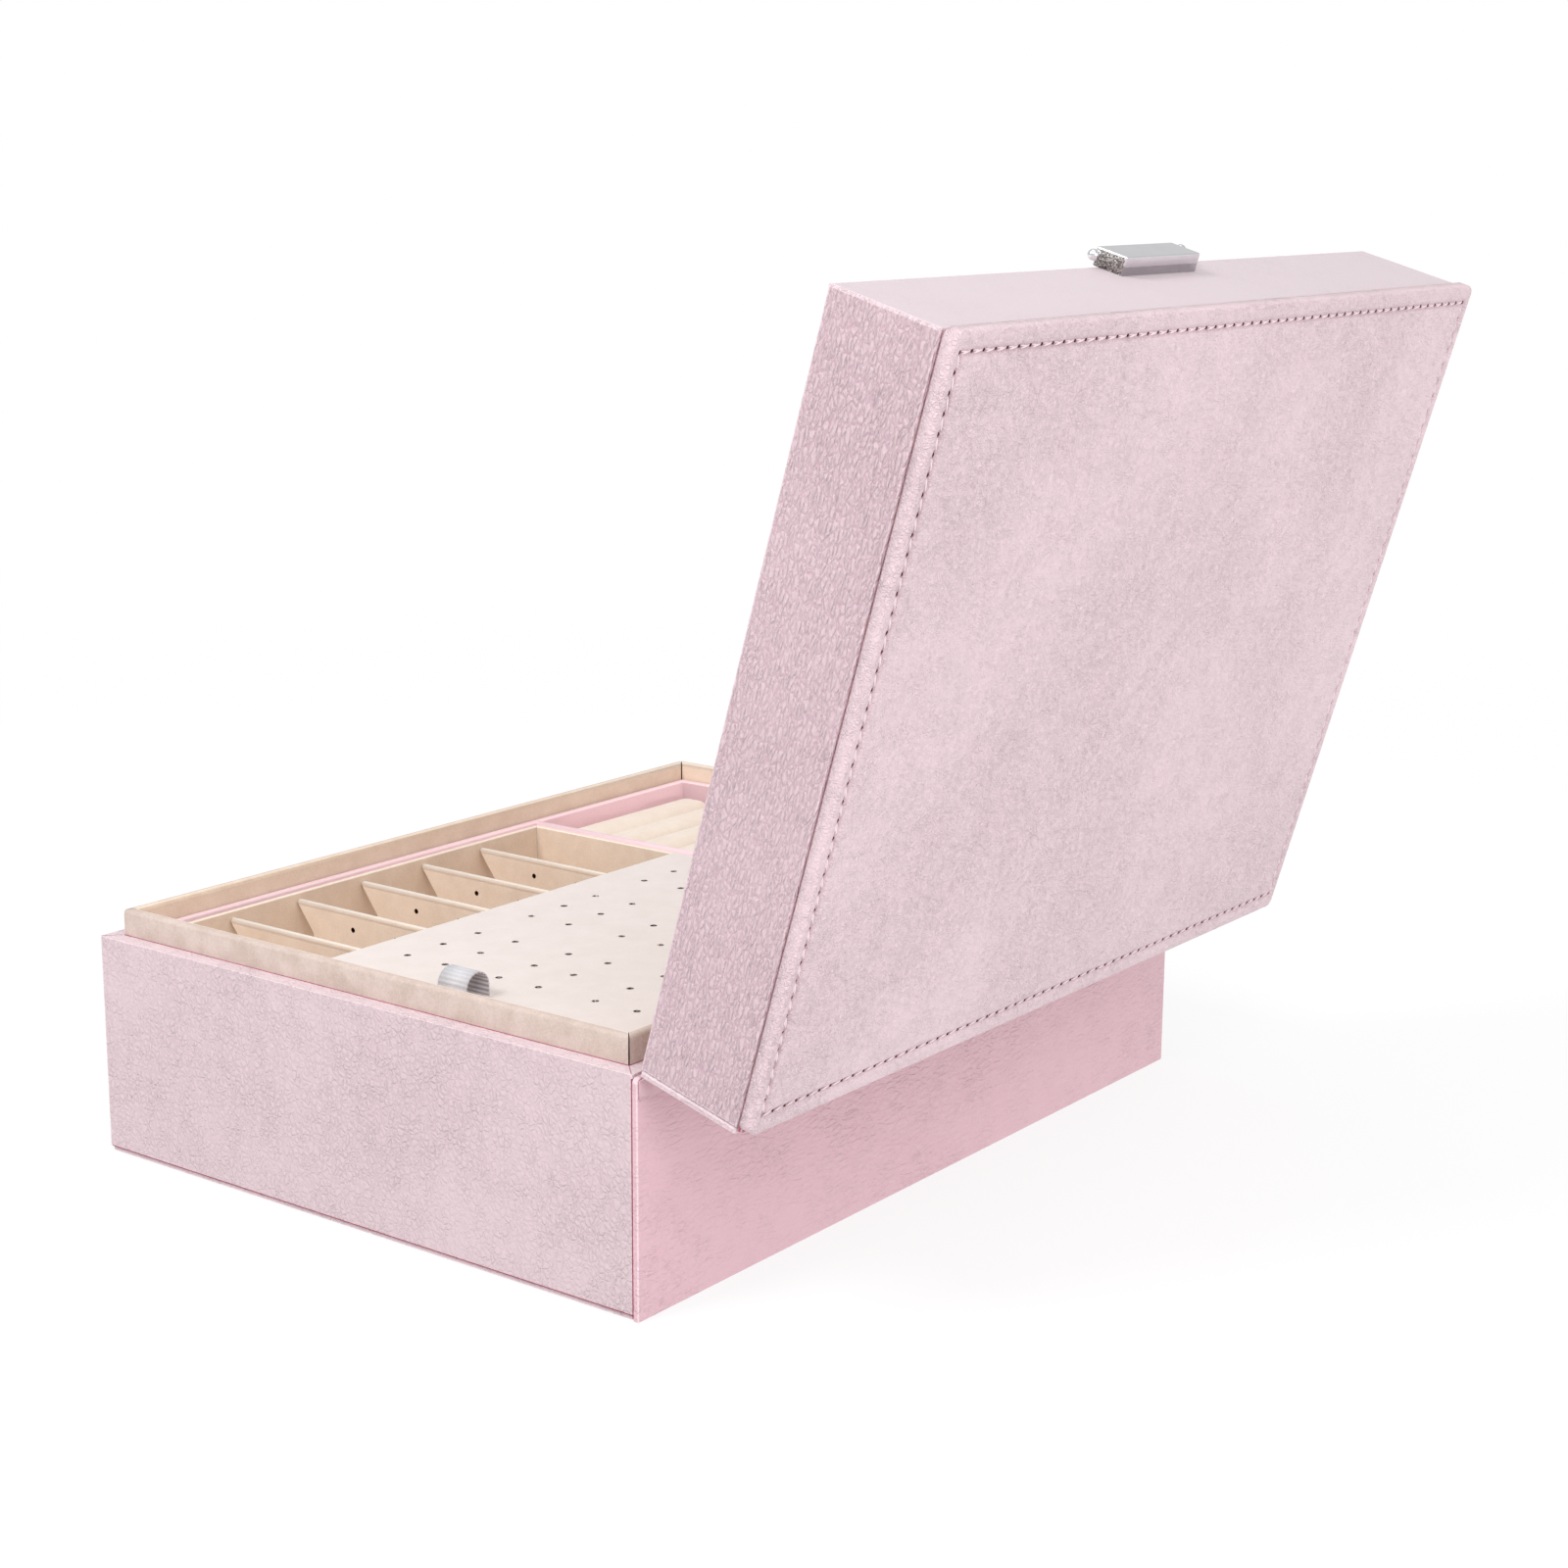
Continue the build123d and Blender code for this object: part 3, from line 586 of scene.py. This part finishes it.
# ------------------------------------------------------------------ velvet
# Short-pile microfibre on boards: matt, with a soft sheen, a fine nap and faint patches where the
# pile lies another way. Marked folds and tops are painted paler, a painted highlight.
def velvet(name, pale, deep, highlight_tone, depth=0.08):
    """Velvet of two close tones, and a third painted on marked folds as a highlight."""
    made, wire = new_material(name, Sheen_Weight=0.5, Sheen_Roughness=0.45, Specular_IOR_Level=0.2)
    point = wire.node("TexCoord", output=3)
    nap = wire.node("TexNoise", {"Vector": point, "Scale": 2100.0, "Detail": 4.0, "Roughness": 0.7})
    patches = wire.node("TexNoise", {"Vector": point, "Scale": 160.0, "Detail": 4.0, "Roughness": 0.6})
    specks = wire.node("TexVoronoi", {"Vector": point, "Scale": 1500.0})
    colour = mixed(smooth(nap * 0.5 + patches * 0.5, 0.3, 0.7), deep, pale)
    painted_highlight = wire.node("Attribute", output=2, attribute_name="fold") * (0.3 + 0.7 * nap)
    colour = mixed(painted_highlight * 0.9, colour, highlight_tone)
    surface(made, wire, colour, 0.82 + 0.12 * nap, nap * 0.7 + specks * 0.3 + patches * 0.8, depth)
    return made


# ------------------------------------------------------------------ collar
# Four velvet boards inside the walls that stand above the rim and centre the lid. They are cut on a
# mitre, and a thin joint is left open at each corner, its dark core faces painting the shade in it. Their
# inner faces get the paler bay velvet, painted lighter than the outer faces to lift their shade.
def cad_copy(node):
    """A CAD piece as clean faces: its corners merged, and its flat faces whole."""
    bm = bmesh.new()
    bm.from_mesh(frame["nodes"][node].data)
    bmesh.ops.remove_doubles(bm, verts=bm.verts, dist=0.002 * mm)
    bmesh.ops.dissolve_limit(bm, angle_limit=radians(0.5), verts=bm.verts, edges=bm.edges)
    return bm


collar_velvet = velvet("velvet_collar", tone(214, 197, 188), tone(188, 168, 157), tone(240, 226, 214))
bay_velvet = velvet("velvet_bay", tone(238, 220, 202), tone(224, 202, 182), tone(250, 244, 236))
# The board core is darker than greyboard: painted shade in the collar's joints and the dividers' holes.
core_and_shade = speckled("board_core_and_shade", tone(70, 38, 26), tone(104, 62, 44), 1400.0, 0.9, 0.05, 0.05, detail=3.0,
                Specular_IOR_Level=0.1)
joint_gap = 0.24 * mm
for side in sides:
    bm = cad_copy(f"collar_{side}")
    folded(bm, [e for e in sharp(bm, 60) if min(v.co.z for v in e.verts) > collar_high.z - 2 * mm],
           0.15 * mm, segments=2)
    # Inward faces get the paler bay velvet: painted light that lifts their shade.
    for face in bm.faces:
        if min(abs(face.normal.x), abs(face.normal.y)) > 0.6 and abs(face.normal.z) < 0.1:
            face.material_index = 1
        elif face.normal.dot(face.calc_center_median() * Vector((1, 1, 0))) < -0.5 * mm:
            face.material_index = 2
    lengthwise = "x" if side in ("front", "back") else "y"
    low, high = getattr(collar_low, lengthwise), getattr(collar_high, lengthwise)
    shrink = 1 - 2 * joint_gap / (high - low)
    middle = (low + high) / 2
    for vert in bm.verts:
        setattr(vert.co, lengthwise, middle + (getattr(vert.co, lengthwise) - middle) * shrink)
    make_piece(f"collar_board_{side}", bm, [collar_velvet, core_and_shade, bay_velvet], "case",
               [f"collar_{side}"])


# ------------------------------------------------------------------ inside of the base
# The lower layer: a lined floor, liners that the tray stands on, and two dividers. All of them are
# thin boards in velvet, glued in.
def velvet_board(name, node, material, body, radius=0.35):
    """A board in velvet, with folds of that radius in millimetres."""
    bm = cad_copy(node)
    folded(bm, sharp(bm, 40), radius * mm, segments=3)
    make_piece(name, bm, [material], body, [node])


lining_velvet = velvet("velvet_lining", tone(243, 220, 202), tone(228, 200, 180), tone(250, 236, 222))
velvet_board("floor_lining", "base_floor", lining_velvet, "case")
for side in sides:
    velvet_board(f"lower_lining_{side}", f"lower_liner_{side}", lining_velvet, "case")
for part in ("cross", "long"):
    velvet_board(f"lower_partition_{part}", f"lower_divider_{part}", lining_velvet, "case",
                 radius=0.7)


# ------------------------------------------------------------------ lid lining
# A velvet panel glued into the lid, slightly crowned over a thin wadding. The inner hinge lining is a
# strip of the same velvet, glued to both rims. It goes taut at the stop.
lining_low, lining_high = lid_box("lid_lining")
sunk_rim = 0.9 * mm
bm = solid(lining_low, lining_high)
bmesh.ops.subdivide_edges(bm, edges=bm.edges, cuts=40, use_grid_fill=True)
for vert in bm.verts:
    if vert.co.z < lining_low.z + hair:
        inner = min(vert.co.x - lining_low.x, lining_high.x - vert.co.x,
                    vert.co.y - lining_low.y, lining_high.y - vert.co.y)
        vert.co.z += sunk_rim * exp(-inner / (4 * mm)) - 0.1 * mm
lid_lining = make_piece("lid_inside", bm, [lining_velvet], "lid", ["lid_lining"],
                        place=lid_place, even=False)

inner_y = base_high.y - base_wall
lining_start = [(inner_y + step * mm, base_high.z + 0.1 * mm) for step in (-0.4, 1.2, 2.6, 3.8)]
lid_inner = lid_high.y - lid_wall
lining_end = [on_lid(lid_inner + step * mm, lid_low.z - 0.1 * mm) for step in (3.0, 2.0, 1.0, -0.4)]
bent_strip("hinge_lining_cloth", lining_start + [(p.y, p.z) for p in lining_end],
           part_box("hinge_lining")[1].x, 0.15 * mm, lining_velvet, "hinge_lining",
           start=(0, *lining_start[-1]), end=lining_end[0])


# ------------------------------------------------------------------ tray
# The tray's walls and its one long partition are boards in a smoother, pinker leatherette, with well
# rounded tops. Its floor is lined with velvet, and the tray lifts out of the base.
tray_leather = leatherette("leatherette_tray", tone(246, 212, 220), tone(238, 195, 206), 1500.0,
                           depth=0.05, gloss=0.42)
tray_low, tray_high = ring_corners("tray_wall")
tray_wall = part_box("tray_wall_left")[1].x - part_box("tray_wall_left")[0].x
bm = wall_ring(tray_low, tray_high, tray_wall)
folded(bm, outer_corners(bm, tray_high), 0.8 * mm)
tray_top, tray_fold = tray_high.z - hair, 0.95 * mm
folded(bm, [e for e in sharp(bm, 40) if min(v.co.z for v in e.verts) > tray_top], tray_fold, 6)
make_piece("tray_wrap", bm, [tray_leather], "tray", four("tray_wall"))
bm = solid(*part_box("tray_partition"))
folded(bm, [e for e in sharp(bm) if min(v.co.z for v in e.verts) > tray_top
            and e.calc_length() > 10 * mm], tray_fold, 6)
make_piece("tray_partition_wrap", bm, [tray_leather], "tray", ["tray_partition"])
velvet_board("tray_floor_lining", "tray_floor", lining_velvet, "tray")


# ------------------------------------------------------------------ tray: velvet liners and dividers
# Warm cream velvet on thin boards. The tops of the dividers are painted pale, a painted highlight, their
# ends are cut on a slant, and pairs of small holes take the posts of earrings; dark core faces paint the
# shade in them.
for side in sides:
    velvet_board(f"tray_lining_{side}", f"tray_liner_{side}", bay_velvet, "tray")
hole_drop = 4.6 * mm    # from a divider's top to its holes
for number in range(1, 6):
    bm = cad_copy(f"divider_{number}")
    low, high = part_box(f"divider_{number}")
    # The walls of the earring holes get the dark core: painted shade in the holes.
    for face in bm.faces:
        centre = face.calc_center_median()
        small = abs(face.normal.x) < 0.1 and face.calc_area() < 20 * mm * mm
        if small and abs(centre.z - (high.z - hole_drop)) < 0.8 * mm and len(face.verts) == 4:
            face.material_index = 1
    folded(bm, [e for e in sharp(bm, 60) if all(face.material_index == 0 for face in e.link_faces)
                and e.calc_length() > mm], 0.3 * mm, segments=2)
    # Painted highlight: the dividers' top faces are marked to be painted pale.
    for face in bm.faces:
        if face.normal.z > 0.9 and face.calc_center_median().z > high.z - mm:
            face[bm.faces.layers.float["fold"]] = 1.0
    make_piece(f"divider_board_{number}", bm, [bay_velvet, core_and_shade], "tray",
               [f"divider_{number}"])


# ------------------------------------------------------------------ ring insert
# Cream velvet rolls on a foam bed, packed side by side so that they pinch a ring between them. Each
# roll has soft, rounded ends.
cream_velvet = velvet("velvet_cream", tone(239, 227, 214), tone(230, 214, 199), tone(246, 237, 227),
                      depth=0.06)
foam, wire = new_material("foam", Specular_IOR_Level=0.1)
cells = wire.node("TexVoronoi", {"Vector": wire.node("TexCoord", output=3), "Scale": 1800.0})
surface(foam, wire, mixed(cells, tone(214, 208, 196), tone(242, 238, 228)), 0.9 - 0.1 * cells, cells, 0.3)
bm = cad_copy("ring_bed")
folded(bm, sharp(bm), 0.6 * mm)
bed = make_piece("ring_foam", bm, [foam], "ring_insert", ["ring_bed"])

rolls_low, rolls_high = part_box("ring_rolls")
roll_count, roll_gap, roll_round = 12, 0.1 * mm, 4.6 * mm
pitch = (rolls_high.y - rolls_low.y + 0.6 * mm) / roll_count
bm = bmesh.new()
for number in range(roll_count):
    low = Vector((rolls_low.x, rolls_low.y + number * pitch, rolls_low.z))
    high = Vector((rolls_high.x, low.y + pitch - roll_gap, rolls_high.z))
    middle = (low + high) / 2
    edges = {e for vert in bar(bm, middle, high - low) for e in vert.link_edges}
    rounded = bmesh.ops.bevel(bm, geom=list(edges), offset=roll_round, segments=7, profile=0.5,
                              affect="EDGES", clamp_overlap=True, material=-1)
    for vert in {v for face in rounded["faces"] for v in face.verts if v.co.z > middle.z}:
        vert.co.z += 0.25 * mm * noise.noise(Vector((vert.co.x * 35, number * 7.3, vert.co.z * 60)))
rolls = make_piece("ring_roll_covers", bm, [cream_velvet], "ring_insert", ["ring_rolls"],
                   even=False)


# ------------------------------------------------------------------ earring panel
# A thin board in cream velvet that lies on the dividers. Its holes are punched in pairs, and the
# cut board shows inside them.
panel_velvet = velvet("velvet_panel", tone(232, 222, 218), tone(224, 213, 208), tone(240, 233, 228),
                      depth=0.05)
hole_edge = speckled("punched_hole", tone(214, 196, 182), tone(240, 226, 214), 2000.0, 0.9, 0.05, 0.05,
                     Specular_IOR_Level=0.1)
panel_low, panel_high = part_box("earring_panel")
bm = cad_copy("earring_panel")
for face in bm.faces:
    centre = face.calc_center_median()
    inner = min(centre.x - panel_low.x, panel_high.x - centre.x, centre.y - panel_low.y,
                panel_high.y - centre.y)
    if abs(face.normal.z) < 0.3 and inner > 3 * mm:
        face.material_index = 1
make_piece("earring_board", bm, [panel_velvet, hole_edge], "panel", ["earring_panel"])


# ------------------------------------------------------------------ ribbon pull
# Silver-grey grosgrain, bent into an arch and glued to the panel at both feet. Its ribs run across
# the ribbon, and their grooves are painted darker as shade, most of all on the arch's inner face.
ribbon, wire = new_material("ribbon_grey", Sheen_Weight=0.25, Specular_IOR_Level=0.5)
weave = wire.node("TexNoise", {"Vector": wire.node("TexCoord", output=3), "Scale": 2800.0, "Detail": 3.0})
groove_shade = wire.node("Attribute", output=2, attribute_name="groove_shade")
woven = mixed(groove_shade * 0.85, mixed(weave, tone(194, 194, 199), tone(220, 220, 224)), tone(138, 124, 130))
surface(ribbon, wire, woven, 0.42 + 0.2 * weave, weave, 0.05)
tab_low, tab_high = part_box("ribbon_tab")
cloth = 0.5 * mm
tab_middle = (tab_low.x + tab_high.x) / 2
outer = (tab_high.x - tab_low.x) / 2
spring = tab_high.z - outer
leg, arc = spring - tab_low.z, pi * (outer - cloth / 2)
length = 2 * leg + arc
rib = 1.15 * mm
outline = []
steps = 150
for step in range(steps + 1):
    along = length * step / steps
    swell = 0.5 * cloth * (1 - 0.45 * (1 + cos(2 * pi * along / rib)) / 2)
    if along < leg:
        place, out = Vector((tab_low.x + cloth / 2, 0, tab_low.z + along)), Vector((-1, 0, 0))
    elif along < leg + arc:
        angle = pi - pi * (along - leg) / arc
        out = Vector((cos(angle), 0, sin(angle)))
        place = Vector((tab_middle, 0, spring)) + out * (outer - cloth / 2)
    else:
        place, out = Vector((tab_high.x - cloth / 2, 0, spring - (along - leg - arc))), Vector((1, 0, 0))
    outline.append((place + out * swell, place - out * swell))
bm = bmesh.new()
layer = bm.verts.layers.float.new("groove_shade")
outside = [bm.verts.new((p.x, tab_low.y, p.z)) for p, _ in outline]
inside = [bm.verts.new((p.x, tab_low.y, p.z)) for _, p in outline]
# Painted shade in the grooves: full on the inner face, a fifth of it on the outer face.
for step, (outer_vert, inner_vert) in enumerate(zip(outside, inside)):
    dip = (1 + cos(2 * pi * length * step / steps / rib)) / 2
    outer_vert[layer], inner_vert[layer] = 0.2 * dip, dip
strip = [bm.faces.new((outside[i], outside[i + 1], inside[i + 1], inside[i])) for i in range(steps)]
grown = bmesh.ops.extrude_face_region(bm, geom=strip)["geom"]
bmesh.ops.translate(bm, verts=[g for g in grown if isinstance(g, bmesh.types.BMVert)],
                    vec=(0, tab_high.y - tab_low.y, 0))
make_piece("ribbon_pull", bm, [ribbon], "panel", ["ribbon_tab"], even=False)


# ------------------------------------------------------------------ clasp
# Chrome on zinc castings. The keeper's long faces are polished, and its ends are left as cast. The
# pins, rivets, catch and bail keep their own meshes, in the same chrome.
chrome = speckled("chrome", tone(226, 226, 230), tone(240, 240, 243), 260.0, 0.08, 0.12, 0.01,
                  detail=3.0, Metallic=1.0)
cast, wire = new_material("rough_cast", Metallic=1.0)
point = wire.node("TexCoord", output=3)
grains = wire.node("TexVoronoi", {"Vector": point, "Scale": 1900.0})
pits = wire.node("TexNoise", {"Vector": point, "Scale": 2600.0, "Detail": 4.0})
surface(cast, wire, mixed(smooth(pits, 0.35, 0.65), tone(120, 116, 112), tone(228, 226, 222)),
        0.35 + 0.3 * pits, grains + pits, 0.3)

keeper_low, keeper_high = lid_box("keeper_block")
keeper_high.y -= 0.05 * mm
keeper_fold = 0.42 * mm
bm = solid(keeper_low, keeper_high)
folded(bm, [e for e in sharp(bm, 40) if max(v.co.y for v in e.verts) < keeper_high.y - hair
            or abs((e.verts[0].co - e.verts[1].co).y) > mm], keeper_fold)
for end in (-1, 1):
    max(bm.faces, key=lambda f: f.normal.x * end * 10 + f.calc_area()).material_index = 1
make_piece("keeper", bm, [chrome, cast], "lid", ["keeper_block"], place=lid_place)

for node in ("keeper_pin", "keeper_rivets", "catch_block", "catch_pin", "catch_rivets", "bail"):
    slots = frame["nodes"][node].data.materials
    slots.clear()
    slots.append(chrome)


# ------------------------------------------------------------------ floor and light
# A wide pale floor that fades into a white surround. The main light comes from the right, a broad one
# fills in from behind it, and two weak ones lift the back and the top.
floor_white = bpy.data.materials.new("floor_white")
floor_white.use_nodes = True
wire = Wire(floor_white.node_tree)
reach = wire.node("VectorMath", {0: wire.node("TexCoord", output=3)}, output=1, operation="LENGTH")
glow = wire.node("Emission", {"Color": (1, 1, 1, 1), "Strength": 1.0})
matt = wire.node("BsdfDiffuse", {"Color": tone(250, 250, 250)})
shown = wire.node("MixShader", {0: 0.78 + 0.22 * smooth(reach, 0.1, 0.9), 1: matt, 2: glow})
floor_white.node_tree.links.new(shown.socket, floor_white.node_tree.nodes["Material Output"].inputs[0])
bm = bmesh.new()
bmesh.ops.create_circle(bm, cap_ends=True, segments=96, radius=12)
mesh = bpy.data.meshes.new("floor")
bm.to_mesh(mesh)
bm.free()
mesh.materials.append(floor_white)
floor = bpy.data.objects.new("floor", mesh)
bpy.context.scene.collection.objects.link(floor)

world = bpy.data.worlds.new("surround")
bpy.context.scene.world = world
world.use_nodes = True
wire = Wire(world.node_tree)
seen = wire.node("LightPath")
world.node_tree.links.new((0.66 + 0.34 * seen).socket, world.node_tree.nodes["Background"].inputs[1])
world.node_tree.nodes["Background"].inputs[0].default_value = (1, 1, 1, 1)


def soft_light(name, place, size, power):
    """A square softbox that faces the box."""
    lamp = bpy.data.lights.new(name, "AREA")
    lamp.size, lamp.energy = size, power
    made = bpy.data.objects.new(name, lamp)
    bpy.context.scene.collection.objects.link(made)
    made.location = place
    made.rotation_euler = (Vector((0, 0.03, 0.1)) - Vector(place)).to_track_quat("-Z", "Y").to_euler()


soft_light("key", (1.3, -0.35, 1.3), 0.5, 13)
soft_light("fill", (0.8, 1.1, 1.35), 1.2, 12)
soft_light("back_fill", (0.1, 1.8, 0.35), 1.0, 6)
soft_light("overhead", (0, 0, 1.9), 1.2, 3)
bpy.context.scene.view_settings.view_transform = "Standard"
